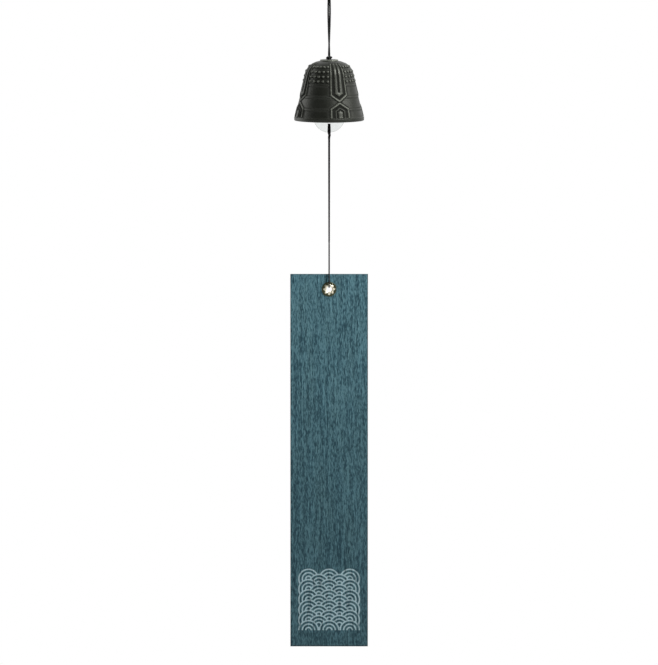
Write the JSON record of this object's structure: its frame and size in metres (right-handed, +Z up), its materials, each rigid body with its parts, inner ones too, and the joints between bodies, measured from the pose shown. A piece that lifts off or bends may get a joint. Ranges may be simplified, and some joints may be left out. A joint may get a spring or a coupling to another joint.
{
  "type": "wind bell",
  "caption": "Cast-iron wind bell on a doubled cord, with studs and pointed bands, a clear disc clapper on thread and a long crepe-paper strip below that catches the wind.",
  "frame": {"origin": "where the top loop of the hanging cord rests on its hook", "axes": "+Z up along the hanging line, -Y out of the front face of the paper strip, +X to the right seen from the front"},
  "size_m": [0.06, 0.054, 0.5218],
  "materials": {
    "iron": "dark green-black lacquered casting, satin",
    "black_cord": "black braided cord, matte",
    "thread": "dark plum-black thread, matte",
    "clear_disc": "clear, polished",
    "eyelet_brass": "polished pale brass",
    "washer_brass": "dark tarnished brass, satin",
    "crepe_paper": "teal-blue crepe paper, matte"
  },
  "bodies": {
    "hanging_cord": {"hanging_cord": "black_cord"},
    "crown_knot": {"crown_knot": "black_cord"},
    "bell": {"bell": "iron", "stopper_knot": "black_cord"},
    "clapper_cord": {"clapper_cord": "thread"},
    "clapper": {"clapper": "clear_disc", "wind_hitch": "thread"},
    "wind_cord": {"wind_cord": "thread"},
    "strip_loop": {"strip_loop": "thread", "closing_knot": "thread"},
    "paper_strip": {"paper_strip": "crepe_paper", "eyelet": "eyelet_brass", "eyelet_washer": "washer_brass"}
  },
  "joints": [
    {"name": "bell_turn", "type": "hinge", "parent": "hanging_cord", "child": "crown_knot", "pos_m": [0, 0, -0.0631], "axis": [0, 0, 1], "continuous": true},
    {"name": "bell_swing", "type": "hinge", "parent": "crown_knot", "child": "bell", "pos_m": [0, 0, -0.0631], "axis": [0, 1, 0], "range_deg": [-20, 20]},
    {"name": "clapper_swing", "type": "hinge", "parent": "bell", "child": "clapper_cord", "pos_m": [0, 0, -0.0737], "axis": [1, 0, 0], "range_deg": [-26, 26]},
    {"name": "clapper_sway", "type": "hinge", "parent": "clapper_cord", "child": "clapper", "pos_m": [0, 0, -0.1029], "axis": [0, 1, 0], "range_deg": [-15, 15]},
    {"name": "wind_cord_swing", "type": "hinge", "parent": "clapper", "child": "wind_cord", "pos_m": [0, 0, -0.12585], "axis": [1, 0, 0], "range_deg": [-60, 60]},
    {"name": "strip_turn", "type": "hinge", "parent": "wind_cord", "child": "strip_loop", "pos_m": [0, 0, -0.2066], "axis": [0, 0, 1], "continuous": true},
    {"name": "strip_sway", "type": "hinge", "parent": "strip_loop", "child": "paper_strip", "pos_m": [0, 0, -0.2424], "axis": [0, 1, 0], "range_deg": [-45, 45]}
  ]
}
